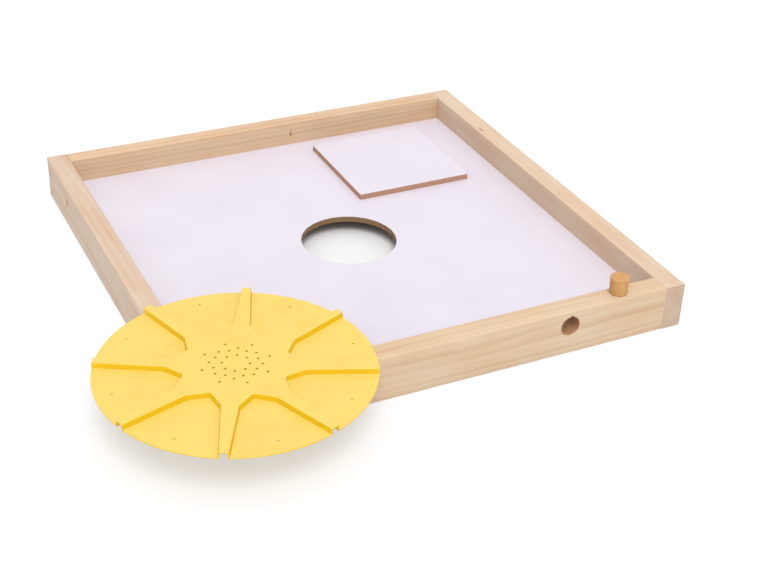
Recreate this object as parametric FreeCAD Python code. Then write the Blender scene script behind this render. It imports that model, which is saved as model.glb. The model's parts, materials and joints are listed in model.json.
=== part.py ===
import FreeCAD, Part
import math
import os

# A clearer board for a beehive: a shallow softwood frame holds a hardboard panel with a bee hole near
# its middle. On it lie its loose pieces: the moulded eight-way bee escape that is pinned over the
# hole, a square cover plate that slides over the hole, and a cork plug for the entrance hole.
#
# Millimetres. The origin is the middle of the bee hole, on the panel's upper face. +X runs to the
# right along the front rail, +Y to the back rail and +Z up.

# Frame
frame_width = 460.0
frame_depth = 460.0
side_rail_width = 19.8
front_rail_width = 20.5
back_rail_width = 17.0
recess_depth = 25.0            # rail tops above the panel
space_below = 12.5             # panel's underside above the rail bottoms
edge_round = 1.0

# Panel and the groove that holds it
panel_core_thickness = 5.7
facing_thickness = 0.3
groove_depth = 6.0
groove_end_gap = 0.8
bee_hole_radius = 46.0
bee_hole_right = 3.2           # the hole's middle, to the right of the frame's
bee_hole_front = 2.0           # and in front of it

# Entrance hole through the front rail
entrance_hole_radius = 8.5
entrance_hole_lip = 1.6        # panel's face up to the hole
entrance_hole_from_right = 119.0

# Corner nails, driven through the side rails into the ends of the other two
nail_length = 50.0
nail_shank_radius = 1.2
nail_head_radius = 2.5
nail_head_thickness = 0.9
nail_point_length = 4.0
upper_nail_height = 9.0        # above the panel's upper face
lower_nail_height = 6.75       # above the rail bottoms

# Cover plate
cover_side = 124.0
cover_corner_radius = 1.5
cover_gap_right = 38.9         # to the right rail's inner face
cover_gap_back = 22.0          # to the back rail's inner face

# Cork plug, a little wider at the top than the entrance hole
plug_height = 16.0
plug_base_undersize = 0.5      # base radius less than the entrance hole's
plug_top_oversize = 0.1        # top radius more than the entrance hole's
plug_edge_round = 0.5
plug_from_right = 64.3
plug_offset_inward = 1.0       # from the middle of the front rail's top

# Bee escape: a thin disc with a raised star of eight tapering channels
channel_count = 8
escape_radius = 115.0
escape_sheet = 1.2
channel_rise = 5.0             # top of the star above the disc
wall_lean = 0.7                # how far a star wall's foot stands out from its top
channel_root_width = 13.9
channel_root_radius = 56.6
channel_mouth_width = 7.5
sector_apex_radius = 43.8      # where a sector of the disc points into the middle chamber
sector_corner_round = 3.0
escape_turn = -2.6             # degrees, from +X to a sector's middle
escape_inset_left = 24.7       # disc's middle from the left rail's inner face
escape_inset_front = 11.3      # disc's middle from the front rail's inner face
pin_hole_radius = 1.0
pin_hole_margin = 14.0         # pin holes' circle to the rim
vent_radius = 1.15
vent_circles_on_channels = (11.3, 21.6)
vent_circles_on_sectors = (18.6, 28.3)
gate_pip_radius = 1.5
gate_pip_height = 0.3

# Places that follow from the sizes above
panel_thickness = panel_core_thickness + facing_thickness
rail_top = recess_depth
rail_bottom = -panel_thickness - space_below
rail_height = rail_top - rail_bottom
left_outer = -frame_width / 2 - bee_hole_right
right_outer = frame_width / 2 - bee_hole_right
front_outer = -frame_depth / 2 + bee_hole_front
back_outer = frame_depth / 2 + bee_hole_front
left_inner = left_outer + side_rail_width
right_inner = right_outer - side_rail_width
front_inner = front_outer + front_rail_width
back_inner = back_outer - back_rail_width
entrance_x = right_outer - entrance_hole_from_right
entrance_z = entrance_hole_lip + entrance_hole_radius
front_rail_middle = (front_outer + front_inner) / 2
back_rail_middle = (back_outer + back_inner) / 2

X_AXIS = FreeCAD.Vector(1, 0, 0)
Y_AXIS = FreeCAD.Vector(0, 1, 0)
Z_AXIS = FreeCAD.Vector(0, 0, 1)
ORIGIN = FreeCAD.Vector(0, 0, 0)


def vector(x, y, z=0.0):
    return FreeCAD.Vector(x, y, z)


def box_between(low, high):
    """Return the box whose lowest and highest corners are low and high."""
    size = high - low
    return Part.makeBox(size.x, size.y, size.z, low)


def edges_along(shape, direction):
    """List the straight edges of shape that run along direction."""
    found = []
    for edge in shape.Edges:
        run = edge.Vertexes[-1].Point - edge.Vertexes[0].Point
        if run.Length > 0 and run.cross(direction).Length < 1e-6 * run.Length:
            found.append(edge)
    return found


def panel_space(margin):
    """Return the room that the panel takes, its edges margin beyond the frame's opening."""
    low = vector(left_inner - margin, front_inner - margin, -panel_thickness)
    high = vector(right_inner + margin, back_inner + margin, 0.0)
    return box_between(low, high)


def rail(low, high, direction):
    """Return a planed rail with its long edges eased and the panel's groove cut into it."""
    bar = box_between(low, high)
    bar = bar.makeFillet(edge_round, edges_along(bar, direction))
    return bar.cut(panel_space(groove_depth))


def side_rail(outer, inner, nails):
    """Return a full-length side rail between two X values, bored for its nails."""
    low = vector(min(outer, inner), front_outer, rail_bottom)
    high = vector(max(outer, inner), back_outer, rail_top)
    return rail(low, high, Y_AXIS).cut(nails)


def end_rail(front, back, nails):
    """Return a rail that butts between the side rails, bored for its nails."""
    low = vector(left_inner, front, rail_bottom)
    high = vector(right_inner, back, rail_top)
    return rail(low, high, X_AXIS).cut(nails)


def nail(side, y, z):
    """Return a round-head nail, its head flush with the outer face on side -1 or 1."""
    head = Part.makeCylinder(nail_head_radius, nail_head_thickness)
    shank_length = nail_length - nail_head_thickness - nail_point_length
    shank = Part.makeCylinder(nail_shank_radius, shank_length, vector(0, 0, nail_head_thickness))
    point_start = vector(0, 0, nail_head_thickness + shank_length)
    point = Part.makeCone(nail_shank_radius, 0.0, nail_point_length, point_start)
    shape = head.fuse([shank, point]).removeSplitter()
    shape.rotate(ORIGIN, Y_AXIS, -90.0 * side)
    shape.translate(vector(left_outer if side < 0 else right_outer, y, z))
    return shape


def corner_nails(side, y):
    """Return the two nails of one corner as separate solids."""
    heights = (upper_nail_height, rail_bottom + lower_nail_height)
    return Part.makeCompound([nail(side, y, z) for z in heights])


def bee_hole():
    """Return the cylinder that clears the bee hole through the panel."""
    return Part.makeCylinder(bee_hole_radius, panel_thickness + 2.0, vector(0, 0, -panel_thickness - 1.0))


def panel_layer(low_z, high_z):
    """Return one layer of the panel, with the bee hole through it."""
    layer = panel_space(groove_depth - groove_end_gap)
    box = layer.BoundBox
    slab = box_between(vector(box.XMin, box.YMin, low_z), vector(box.XMax, box.YMax, high_z))
    return slab.cut(bee_hole())


def cover_layer(low_z, high_z):
    """Return one layer of the square cover plate where it lies on the panel."""
    high = vector(right_inner - cover_gap_right, back_inner - cover_gap_back, high_z)
    low = vector(high.x - cover_side, high.y - cover_side, low_z)
    slab = box_between(low, high)
    return slab.makeFillet(cover_corner_radius, edges_along(slab, Z_AXIS))


def entrance_hole():
    """Return the cylinder that bores the front rail."""
    start = vector(entrance_x, front_outer - 1.0, entrance_z)
    return Part.makeCylinder(entrance_hole_radius, front_rail_width + 2.0, start, Y_AXIS)


def entrance_plug():
    """Return the tapered cork plug, standing on the front rail."""
    base_radius = entrance_hole_radius - plug_base_undersize
    top_radius = entrance_hole_radius + plug_top_oversize
    plug = Part.makeCone(base_radius, top_radius, plug_height)
    rims = [edge for edge in plug.Edges if edge.Closed and edge.Curve.TypeId == "Part::GeomCircle"]
    plug = plug.makeFillet(plug_edge_round, rims)
    x = right_outer - plug_from_right
    plug.translate(vector(x, front_rail_middle + plug_offset_inward, rail_top))
    return plug


def sector_outline(offset, z):
    """Return the outline of one flat sector between two channels, grown by offset, at height z.

    The outline points inwards at its apex, opens along the flared shoulder of the chamber to the
    roots of the two channels beside it, and follows them out beyond the rim.
    """
    half_step = math.pi / channel_count
    beyond = escape_radius + 12.0
    taper = (channel_root_width - channel_mouth_width) / 2 / (escape_radius - channel_root_radius)

    def beside_channel(distance):
        half_width = channel_root_width / 2 - taper * (distance - channel_root_radius)
        x = distance * math.cos(half_step) + half_width * math.sin(half_step)
        y = distance * math.sin(half_step) - half_width * math.cos(half_step)
        return x, y

    root_x, root_y = beside_channel(channel_root_radius)
    far_x, far_y = beside_channel(beyond)
    corners = [(sector_apex_radius, 0.0), (root_x, root_y), (far_x, far_y), (far_x, -far_y), (root_x, -root_y)]
    points = [vector(x, y, z) for x, y in corners]
    outline = Part.makePolygon(points + points[:1])
    inset = outline.makeOffset2D(-sector_corner_round)
    return inset.makeOffset2D(sector_corner_round + offset)


def sector_block(low_z, high_z, offset):
    """Return a sector as a block whose sides lean like the star's walls, grown by offset."""
    star_top = escape_sheet + channel_rise
    outlines = []
    for z in (low_z, high_z):
        lean = wall_lean * (star_top - z) / channel_rise
        outlines.append(sector_outline(offset - lean, z))
    return Part.makeLoft(outlines, True, True)


def around(shape, count, start=0.0):
    """Return count copies of shape spread round the Z axis, the first turned by start degrees."""
    copies = []
    for index in range(count):
        copy = shape.copy()
        copy.rotate(ORIGIN, Z_AXIS, start + 360.0 * index / count)
        copies.append(copy)
    return copies


def escape_holes():
    """Return the pins of space that make the pin holes and the vents."""
    height = escape_sheet + channel_rise + 2.0
    half_turn = 180.0 / channel_count

    def ring(hole_radius, circle_radius, start):
        hole = Part.makeCylinder(hole_radius, height, vector(circle_radius, 0, -1.0))
        return around(hole, channel_count, start)

    holes = ring(pin_hole_radius, escape_radius - pin_hole_margin, 0.0)
    for circle_radius in vent_circles_on_channels:
        holes += ring(vent_radius, circle_radius, half_turn)
    for circle_radius in vent_circles_on_sectors:
        holes += ring(vent_radius, circle_radius, 0.0)
    return holes


def bee_escape():
    """Return the moulded escape, lying flat across the frame's front left corner."""
    star_top = escape_sheet + channel_rise
    room_top = star_top - escape_sheet
    star = Part.makeCylinder(escape_radius, star_top)
    star = star.cut(around(sector_block(escape_sheet, star_top + 1.0, 0.0), channel_count))
    room = Part.makeCylinder(escape_radius + 1.0, room_top + 1.0, vector(0, 0, -1.0))
    room = room.cut(around(sector_block(-2.0, room_top + 0.5, escape_sheet), channel_count))
    pip = Part.makeCylinder(gate_pip_radius, escape_sheet / 2 + gate_pip_height)
    pip.translate(vector(0, 0, star_top - escape_sheet / 2))
    moulding = star.cut(room).fuse(pip).cut(escape_holes()).removeSplitter()
    moulding.rotate(ORIGIN, Z_AXIS, escape_turn)
    moulding.translate(vector(left_inner + escape_inset_left, front_inner + escape_inset_front, rail_top))
    return moulding


nails_front_left = corner_nails(-1, front_rail_middle)
nails_front_right = corner_nails(1, front_rail_middle)
nails_back_left = corner_nails(-1, back_rail_middle)
nails_back_right = corner_nails(1, back_rail_middle)

left_nails = [nails_front_left, nails_back_left]
right_nails = [nails_front_right, nails_back_right]
front_nails = [nails_front_left, nails_front_right]
back_nails = [nails_back_left, nails_back_right]

nodes = {
    "left_rail": side_rail(left_outer, left_inner, left_nails),
    "right_rail": side_rail(right_outer, right_inner, right_nails),
    "front_rail": end_rail(front_outer, front_inner, front_nails).cut(entrance_hole()),
    "back_rail": end_rail(back_inner, back_outer, back_nails),
    "panel_core": panel_layer(-panel_thickness, -facing_thickness),
    "panel_facing": panel_layer(-facing_thickness, 0.0),
    "cover_core": cover_layer(0.0, panel_core_thickness),
    "cover_facing": cover_layer(panel_core_thickness, panel_thickness),
    "nails_front_left": nails_front_left,
    "nails_front_right": nails_front_right,
    "nails_back_left": nails_back_left,
    "nails_back_right": nails_back_right,
    "bee_escape": bee_escape(),
    "entrance_plug": entrance_plug(),
}

os.makedirs("parts", exist_ok=True)
for name, shape in nodes.items():
    shape.exportStep("parts/" + name + ".step")
    print(name, len(shape.Solids), "solids, volume", round(shape.Volume, 1), "valid", shape.isValid())
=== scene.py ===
# %% [markdown]
# # A beehive clearer board
#
# A beekeeper slips this board between two boxes of a hive so that the bees move down and can't come
# back. It is plain woodware: four planed softwood rails, a hardboard panel with a white face, and
# three loose pieces that lie on it. The structure is already packed as a frame of named solids, so
# every cell below starts from the place and size of a node in that frame, in metres.

import json
import math

import bmesh
import bpy
import numpy as np
from mathutils import Euler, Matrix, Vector


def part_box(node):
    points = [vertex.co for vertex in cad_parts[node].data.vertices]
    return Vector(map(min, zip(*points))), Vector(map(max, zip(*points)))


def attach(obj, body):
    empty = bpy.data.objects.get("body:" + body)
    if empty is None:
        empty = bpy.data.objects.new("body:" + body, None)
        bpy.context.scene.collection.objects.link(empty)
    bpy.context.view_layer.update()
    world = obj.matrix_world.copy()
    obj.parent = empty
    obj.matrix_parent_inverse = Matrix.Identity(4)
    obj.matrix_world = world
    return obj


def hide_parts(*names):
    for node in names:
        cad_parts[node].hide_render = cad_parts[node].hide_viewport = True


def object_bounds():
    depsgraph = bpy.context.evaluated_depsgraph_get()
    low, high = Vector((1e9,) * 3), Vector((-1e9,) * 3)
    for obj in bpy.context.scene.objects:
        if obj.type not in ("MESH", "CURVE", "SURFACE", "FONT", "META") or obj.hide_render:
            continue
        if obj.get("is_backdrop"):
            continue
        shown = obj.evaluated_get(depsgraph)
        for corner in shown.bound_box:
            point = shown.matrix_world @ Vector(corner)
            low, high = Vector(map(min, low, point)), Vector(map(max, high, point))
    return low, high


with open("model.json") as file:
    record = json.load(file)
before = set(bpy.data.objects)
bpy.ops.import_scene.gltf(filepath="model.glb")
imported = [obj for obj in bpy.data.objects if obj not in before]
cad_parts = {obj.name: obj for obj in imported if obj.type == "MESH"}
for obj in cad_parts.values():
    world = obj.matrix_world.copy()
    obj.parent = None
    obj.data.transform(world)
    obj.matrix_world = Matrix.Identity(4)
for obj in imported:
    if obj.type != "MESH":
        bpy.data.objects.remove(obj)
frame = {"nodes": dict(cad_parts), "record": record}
cad_low, cad_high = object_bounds()
MM = 0.001
mounts = {mount["name"]: mount for mount in frame["record"]["mounts"]}
print("nodes:", ", ".join(sorted(frame["nodes"])))

# %% [markdown]
# ## From grids of points to meshes
#
# Most shapes here are grids: rows of points along the piece, columns round it. A mesh could be
# modelled by hand or grown from primitives, but a grid keeps the formula of the shape in view. One
# helper turns any number of grids into one closed mesh. It merges the points that meet at seams and
# poles, and turns the faces outwards.


# %% Grids to one mesh
def grid_faces(rows, columns, first, close_rows, close_columns):
    """Return the corner numbers of a grid's four-sided faces, its points counted from first."""
    index = first + np.arange(rows * columns).reshape(rows, columns)
    if close_rows:
        index = np.vstack([index, index[:1]])
    if close_columns:
        index = np.hstack([index, index[:, :1]])
    corners = [index[:-1, :-1], index[1:, :-1], index[1:, 1:], index[:-1, 1:]]
    return np.stack(corners, axis=-1).reshape(-1, 4)


def surface(name, grids, close_rows=False, close_columns=False, cap_rows=False, outward=True):
    """Make one mesh object from arrays of shape (rows, columns, 3), in metres.

    close_rows and close_columns join the last row or column to the first. cap_rows fills the first
    and last row with a flat face each.
    """
    points, faces, count = [], [], 0
    for grid in grids:
        rows, columns = grid.shape[:2]
        faces += grid_faces(rows, columns, count, close_rows, close_columns).tolist()
        if cap_rows:
            faces.append(list(range(count, count + columns)))
            faces.append(list(range(count + (rows - 1) * columns, count + rows * columns)))
        points.append(grid.reshape(-1, 3))
        count += rows * columns
    mesh = bpy.data.meshes.new(name)
    mesh.from_pydata(np.vstack(points).tolist(), [], faces)
    work = bmesh.new()
    work.from_mesh(mesh)
    bmesh.ops.remove_doubles(work, verts=work.verts, dist=0.001 * MM)
    bmesh.ops.dissolve_degenerate(work, edges=work.edges, dist=0.0005 * MM)
    if outward:
        bmesh.ops.recalc_face_normals(work, faces=work.faces)
    work.to_mesh(mesh)
    work.free()
    piece = bpy.data.objects.new(name, mesh)
    bpy.context.scene.collection.objects.link(piece)
    return piece


def soften(piece, angle=35.0):
    """Shade a piece smoothly, except across edges that turn by more than angle degrees."""
    piece.data.shade_smooth()
    piece.data.set_sharp_from_angle(angle=math.radians(angle))


def settle(piece, body, node, material):
    """Give a finished piece its body and its material, and hide the node it stands for."""
    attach(piece, body)
    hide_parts(node)
    piece.data.materials.clear()
    piece.data.materials.append(material)
    print(f"{piece.name}: {len(piece.data.polygons)} faces")


# %% [markdown]
# Real pieces are never quite even: an arris is worn more here than there, and a sawn edge is ragged.
# A sum of a few sine waves with seeded phases makes such an unevenness. It is smooth, it costs
# nothing, and it is the same on every run.


# %% Smooth unevenness
def unevenness(distance, wavelength, seed, waves=7):
    """Return smooth values from 0 to 1 along distance, whose shortest waves measure wavelength."""
    random = np.random.default_rng(seed)
    total = np.zeros_like(distance)
    for _ in range(waves):
        length = wavelength * random.uniform(1.0, 4.0)
        total += np.sin(2 * np.pi * distance / length + random.uniform(0, 2 * np.pi))
    return 0.5 + 0.5 * np.clip(total / math.sqrt(2.0 * waves), -1, 1)


print("unevenness, every 10 mm:", unevenness(np.linspace(0, 30, 4) * MM, 14 * MM, 21).round(2))


# %% [markdown]
# Holes are bored after the piece is made, as in the workshop. A cutter is a closed surface too: a
# tube for a drill, a stretched sphere for a crack or a dish. A Boolean modifier takes it away from
# the piece, and the result is kept as the piece's mesh.


# %% Cutting
def tube(start, direction, radius, depths, turns=32):
    """Return the grid of a tube round an axis: one ring of points for each of the depths.

    radius is a number, or a function of the angle and the depth as arrays.
    """
    axis = Vector(direction).normalized()
    side = Vector((0, 0, 1)) if abs(axis.z) < 0.9 else Vector((1, 0, 0))
    other = axis.cross(side)
    angle, depth = np.meshgrid(np.linspace(0, 2 * np.pi, turns, endpoint=False), np.array(depths))
    size = radius(angle, depth) if callable(radius) else np.full_like(angle, radius)
    ring = np.cos(angle)[..., None] * np.array(side) + np.sin(angle)[..., None] * np.array(other)
    return np.array(start) + depth[..., None] * np.array(axis) + size[..., None] * ring


def spindle(centre, half_sizes, rings=10, turns=16):
    """Return the grid of a sphere stretched to half_sizes round centre, pole to pole."""
    polar, angle = np.meshgrid(
        np.linspace(0.001, np.pi - 0.001, rings), np.linspace(0, 2 * np.pi, turns, endpoint=False),
        indexing="ij")
    unit = np.stack([
        np.sin(polar) * np.cos(angle), np.sin(polar) * np.sin(angle), np.cos(polar)], axis=-1)
    return np.array(centre) + unit * np.array(half_sizes)


def carve(piece, grids, operation="DIFFERENCE"):
    """Take closed grids, which don't touch each other, away from a piece, or add them to it."""
    cutter = surface(piece.name + "_cutter", grids, close_columns=True, cap_rows=True)
    tool = piece.modifiers.new("carve", "BOOLEAN")
    tool.operation = operation
    tool.solver = "EXACT"
    tool.object = cutter
    bpy.context.view_layer.update()
    graph = bpy.context.evaluated_depsgraph_get()
    finished = bpy.data.meshes.new_from_object(piece.evaluated_get(graph))
    piece.modifiers.clear()
    piece.data = finished
    bpy.data.objects.remove(cutter)


print("rings and turns of a drill:", tube((0, 0, 0), (0, 0, 1), 1 * MM, [0.0, 5 * MM]).shape[:2])


# %% [markdown]
# ## Building materials from nodes
#
# Each finish is worked out from Object coordinates, which are the board's own metres, so a pattern's
# scale can be given in millimetres and it stays put when a piece moves. One helper adds a node, sets
# it up and links it. Colours are written as sRGB hex, as a paint chart gives them, and one function
# turns them into the linear values that the shader wants. Most natural finishes drift between two
# tones, so that has a helper too.


# %% Node and colour helpers
def linear(hex_colour):
    """Turn an sRGB hex colour into linear red, green, blue and full alpha."""
    values = np.array([int(hex_colour[i:i + 2], 16) for i in (1, 3, 5)]) / 255.0
    low = values / 12.92
    high = ((values + 0.055) / 1.055) ** 2.4
    return (*np.where(values <= 0.04045, low, high).tolist(), 1.0)


def add(tree, kind, inputs=None, **settings):
    """Add a node to tree, set its properties, and set or link its inputs by name or number."""
    node = tree.nodes.new("ShaderNode" + kind)
    for key, value in settings.items():
        setattr(node, key, value)
    for key, value in (inputs or {}).items():
        if isinstance(value, bpy.types.NodeSocket):
            tree.links.new(value, node.inputs[key])
        else:
            node.inputs[key].default_value = value
    return node


def new_finish(name, **shader_inputs):
    """Return a new material, its node tree, its Principled shader and its Object coordinates."""
    material = bpy.data.materials.new(name)
    material.use_nodes = True
    tree = material.node_tree
    tree.nodes.clear()
    values = {key.replace("_", " "): value for key, value in shader_inputs.items()}
    shader = add(tree, "BsdfPrincipled", values)
    add(tree, "OutputMaterial", {"Surface": shader.outputs["BSDF"]})
    return material, tree, shader, add(tree, "TexCoord").outputs["Object"]


def two_tone(tree, pattern, low, high, first, second):
    """Return a colour that goes from first to second as pattern goes from low to high."""
    share = add(tree, "MapRange", {"Value": pattern, "From Min": low, "From Max": high})
    return add(tree, "Mix", {
        0: share.outputs["Result"], 6: linear(first), 7: linear(second)}, data_type="RGBA")


print("mid grey #808080 is", round(linear("#808080")[0], 3), "in linear light")


# %% [markdown]
# Wood is marked here and there: brown round a knot, darker round and inside a bored hole. Such a mark
# is a place with soft limits, so it is drawn as the distance from a centre, measured in half sizes of
# its own in each direction.


# %% Marks in wood
def stain(tree, place, wood, centre, half_sizes, tint, full=0.5):
    """Return wood darkened to tint inside an ellipsoid, fading out past a share full of its size."""
    offset = add(tree, "VectorMath", {0: place, 1: centre}, operation="SUBTRACT").outputs[0]
    offset = add(tree, "VectorMath", {0: offset, 1: half_sizes}, operation="DIVIDE").outputs[0]
    distance = add(tree, "VectorMath", {0: offset}, operation="LENGTH").outputs["Value"]
    share = add(tree, "MapRange", {
        "Value": distance, "From Min": 1.0, "From Max": full}).outputs["Result"]
    colour = add(tree, "Mix", {0: share, 6: (1, 1, 1, 1), 7: linear(tint)}, data_type="RGBA")
    return add(tree, "VectorMath", {0: wood.outputs[0], 1: colour.outputs[2]}, operation="MULTIPLY")


# %% [markdown]
# ## Pine, planed and left bare
#
# A board is a piece cut out of a tree, so the honest way to draw it is to grow the tree: growth rings
# are cylinders round the heart line, pale early wood that darkens slowly into late wood and starts
# again. A saw-toothed wave in rings does that, and the rails' faces and end grain then agree by
# themselves.


# %% Growth rings
def growth_rings(tree, log, spacing, seed):
    """Return places in the log, their ring value from 0 to 1 and how strongly each ring shows.

    log is a place measured from the heart line, which then wanders by a slow noise. The ring value
    rises slowly and falls fast with the distance from the wandering line.
    """
    # The heart line wanders a few millimetres over the rail's length.
    slow = add(tree, "Mapping", {
        "Vector": log, "Location": (seed, 0, seed), "Scale": (2.6, 14.0, 14.0)})
    wander = add(tree, "TexNoise", {"Vector": slow.outputs["Vector"], "Scale": 1.0, "Detail": 1.5})
    wander = add(tree, "VectorMath", {
        0: wander.outputs["Color"], 1: (0.5, 0.5, 0.5)}, operation="SUBTRACT")
    wander = add(tree, "VectorMath", {
        0: wander.outputs["Vector"], "Scale": 0.022}, operation="SCALE")
    grown = add(tree, "VectorMath", {
        0: log, 1: wander.outputs["Vector"]}, operation="ADD").outputs["Vector"]

    # Rings: a saw-toothed wave repeats every 0.314 of a unit at scale 1.
    rings = add(tree, "TexWave", {
        "Vector": grown, "Scale": 0.314 / spacing, "Distortion": 0.9, "Detail": 2.0,
        "Detail Scale": 0.7}, wave_type="RINGS", rings_direction="X", wave_profile="SAW")
    rise = add(tree, "MapRange", {
        "Value": rings.outputs["Fac"], "From Min": 0.1, "From Max": 0.85},
        interpolation_type="SMOOTHSTEP")
    fall = add(tree, "MapRange", {
        "Value": rings.outputs["Fac"], "From Min": 0.86, "From Max": 1.0, "To Min": 1.0, "To Max": 0.0},
        interpolation_type="SMOOTHSTEP")
    ring = add(tree, "Math", {
        0: rise.outputs["Result"], 1: fall.outputs["Result"]}, operation="MULTIPLY").outputs[0]

    # No two years are alike: a tint 8 mm by half a metre strengthens some rings and hides others.
    broad = add(tree, "Mapping", {
        "Vector": grown, "Location": (seed, seed, 0), "Scale": (2.0, 130.0, 130.0)})
    tint = add(tree, "TexNoise", {
        "Vector": broad.outputs["Vector"], "Scale": 1.0, "Detail": 2.5}).outputs["Fac"]
    tint = add(tree, "MapRange", {
        "Value": tint, "From Min": 0.35, "From Max": 0.68}).outputs["Result"]
    return grown, ring, add(tree, "Math", {0: ring, 1: tint}, operation="MULTIPLY").outputs[0]


# %% [markdown]
# Where a rail is cut across, the wood looks different: the fibres stand on end and drink the light.
# The face's own direction tells which faces those are, so no second material is needed.


# %% End grain
def end_grain(tree, wood, ring, along):
    """Return wood made a little darker and greyer where the face looks along the rail.

    The rings show at full strength there.
    """
    normal = add(tree, "NewGeometry").outputs["True Normal"]
    axis = (1, 0, 0) if along == "X" else (0, 1, 0)
    facing = add(tree, "VectorMath", {0: normal, 1: axis}, operation="DOT_PRODUCT")
    facing = add(tree, "Math", {0: facing.outputs["Value"]}, operation="ABSOLUTE")
    end = add(tree, "MapRange", {"Value": facing.outputs[0], "From Min": 0.6, "From Max": 0.95})
    cut_ring = add(tree, "Mix", {
        0: ring, 6: linear("#F1EFF2"), 7: linear("#E6DFDC")}, data_type="RGBA")
    tone = add(tree, "Mix", {
        0: end.outputs["Result"], 6: (1, 1, 1, 1), 7: cut_ring.outputs[2]}, data_type="RGBA")
    return add(tree, "VectorMath", {0: wood.outputs[0], 1: tone.outputs[2]}, operation="MULTIPLY")


# %% [markdown]
# Fast-grown pine is low in contrast, so the rings are only a shade darker and more orange. Pinkish
# patches, fine fibres, the end grain and the stains are laid over them, each as a tone that the
# colour so far is multiplied by.


# %% Pine
def pine(name, along, heart, spacing, seed, early="#CAB5A0", late="#B7967D",
         contrast=0.5, stains=()):
    """Return bare pine for a rail that runs along "X" or "Y".

    heart is the (across, up) place of the tree's heart line and spacing the width of one year's
    ring, both in metres. contrast is how far a ring goes from the early to the late colour, and
    stains lists the centre, half sizes, tint and full share of each mark.
    """
    material, tree, shader, place = new_finish(name, Roughness=0.62, IOR=1.5)
    turn = 0.0 if along == "X" else -math.pi / 2
    across = -heart[0] if along == "X" else heart[0]
    log = add(tree, "Mapping", {
        "Vector": place, "Location": (0, across, -heart[1]), "Rotation": (0, 0, turn)})
    log = log.outputs["Vector"]
    grown, ring, strength = growth_rings(tree, log, spacing, seed)
    strength = add(tree, "Math", {0: strength, 1: contrast}, operation="MULTIPLY").outputs[0]
    wood = add(tree, "Mix", {0: strength, 6: linear(early), 7: linear(late)}, data_type="RGBA")

    # Pinkish patches about 70 mm long come and go.
    patchy = add(tree, "Mapping", {
        "Vector": log, "Location": (0, seed, seed), "Scale": (14.0, 60.0, 60.0)})
    patch = add(tree, "TexNoise", {
        "Vector": patchy.outputs["Vector"], "Scale": 1.0, "Detail": 2.0}).outputs["Fac"]
    flush = two_tone(tree, patch, 0.4, 0.75, "#FFFFFF", "#FCEFE6")
    wood = add(tree, "VectorMath", {0: wood.outputs[2], 1: flush.outputs[2]}, operation="MULTIPLY")

    # Fibres are drawn 0.6 mm wide and 100 mm long. Real ones are far finer and wouldn't show.
    fine = add(tree, "Mapping", {"Vector": grown, "Scale": (10.0, 1600.0, 1600.0)})
    fibres = add(tree, "TexNoise", {
        "Vector": fine.outputs["Vector"], "Scale": 1.0, "Detail": 3.0, "Roughness": 0.6}).outputs["Fac"]
    streak = add(tree, "MapRange", {
        "Value": fibres, "From Min": 0.25, "From Max": 0.75, "To Min": 0.94, "To Max": 1.04})
    wood = add(tree, "VectorMath", {
        0: wood.outputs[0], "Scale": streak.outputs["Result"]}, operation="SCALE")

    wood = end_grain(tree, wood, ring, along)
    for details in stains:
        wood = stain(tree, place, wood, *details)
    tree.links.new(wood.outputs[0], shader.inputs["Base Color"])

    height = add(tree, "Math", {0: fibres, 1: 0.5, 2: ring}, operation="MULTIPLY_ADD")
    bump = add(tree, "Bump", {
        "Height": height.outputs[0], "Strength": 0.3, "Distance": 0.1 * MM})
    tree.links.new(bump.outputs["Normal"], shader.inputs["Normal"])
    return material


# %% [markdown]
# ## The rails
#
# A rail is planed stock with its arrises knocked off, so it is a profile carried along a path: a
# rectangle with small round corners, swept along the rail. The rounding varies a little from place
# to place, as handling wears it, and the ends are eased too, which is what draws the fine line at
# each butt joint.


# %% Sweep a planed rail
ARRIS = 1.0 * MM
ARRIS_WEAR = 0.22 * MM
END_EASE = 0.18 * MM


def rail_profile(width, height, radii, steps=5):
    """Return points and outward directions round a rectangle with a radius at each corner.

    The corners go round from (-, -) to (+, -), (+, +) and (-, +). Each corner is a quarter circle
    round its own centre, and each side between two corners gets three more points.
    """
    points, normals = [], []
    signs = [(-1, -1), (1, -1), (1, 1), (-1, 1)]
    for (a, b), radius, start in zip(signs, radii, (180.0, 270.0, 0.0, 90.0)):
        angle = np.radians(start + np.linspace(0.0, 90.0, steps))
        direction = np.stack([np.cos(angle), np.sin(angle)], axis=1)
        centre = np.array([a * (width / 2 - radius), b * (height / 2 - radius)])
        points.append(centre + radius * direction)
        normals.append(direction)
    ring, around = [], []
    for index in range(4):
        start, end = points[index][-1], points[(index + 1) % 4][0]
        share = np.linspace(0, 1, 5)[1:-1, None]
        ring += [points[index], start + (end - start) * share]
        around += [normals[index], np.repeat(normals[index][-1:], 3, axis=0)]
    return np.vstack(ring), np.vstack(around)


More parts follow.
